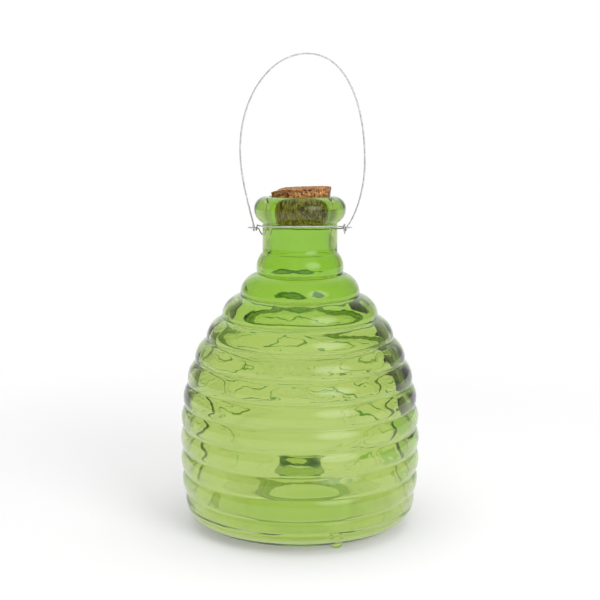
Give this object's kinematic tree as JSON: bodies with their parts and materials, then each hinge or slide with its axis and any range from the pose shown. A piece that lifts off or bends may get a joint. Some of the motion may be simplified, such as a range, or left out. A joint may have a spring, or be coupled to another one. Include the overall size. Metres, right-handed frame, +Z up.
{
  "type": "glass fly trap",
  "caption": "Ribbed green glass fly trap with a pushed-up entry in its base, small glass feet, a cork in the mouth, and a wire bail hung from a wire collar round the neck.",
  "frame": {"origin": "on the floor under the bottle's axis, at the level of the feet", "axes": "+Z up along the bottle's axis, X along the line through the wire ears, the pictured side faces -Y"},
  "size_m": [0.1398, 0.1398, 0.2715],
  "materials": {
    "green_glass": "clear, moulded, slightly wavy",
    "cork": "granulated cork",
    "collar_wire": "galvanised",
    "bail_wire": "galvanised"
  },
  "bodies": {
    "vessel": {"glass_body": "green_glass", "neck_collar": "collar_wire"},
    "bail": {"bail": "bail_wire"},
    "cork": {"cork_stopper": "cork"}
  },
  "joints": [
    {"name": "bail_swing", "type": "hinge", "parent": "vessel", "child": "bail", "pos_m": [0, 0, 0.17301], "axis": [1, 0, 0], "range_deg": [-135, 135]},
    {"name": "cork_pull", "type": "slide", "parent": "vessel", "child": "cork", "axis": [-0.0384, 0, 0.9993], "range_m": [0, 0.045]}
  ]
}
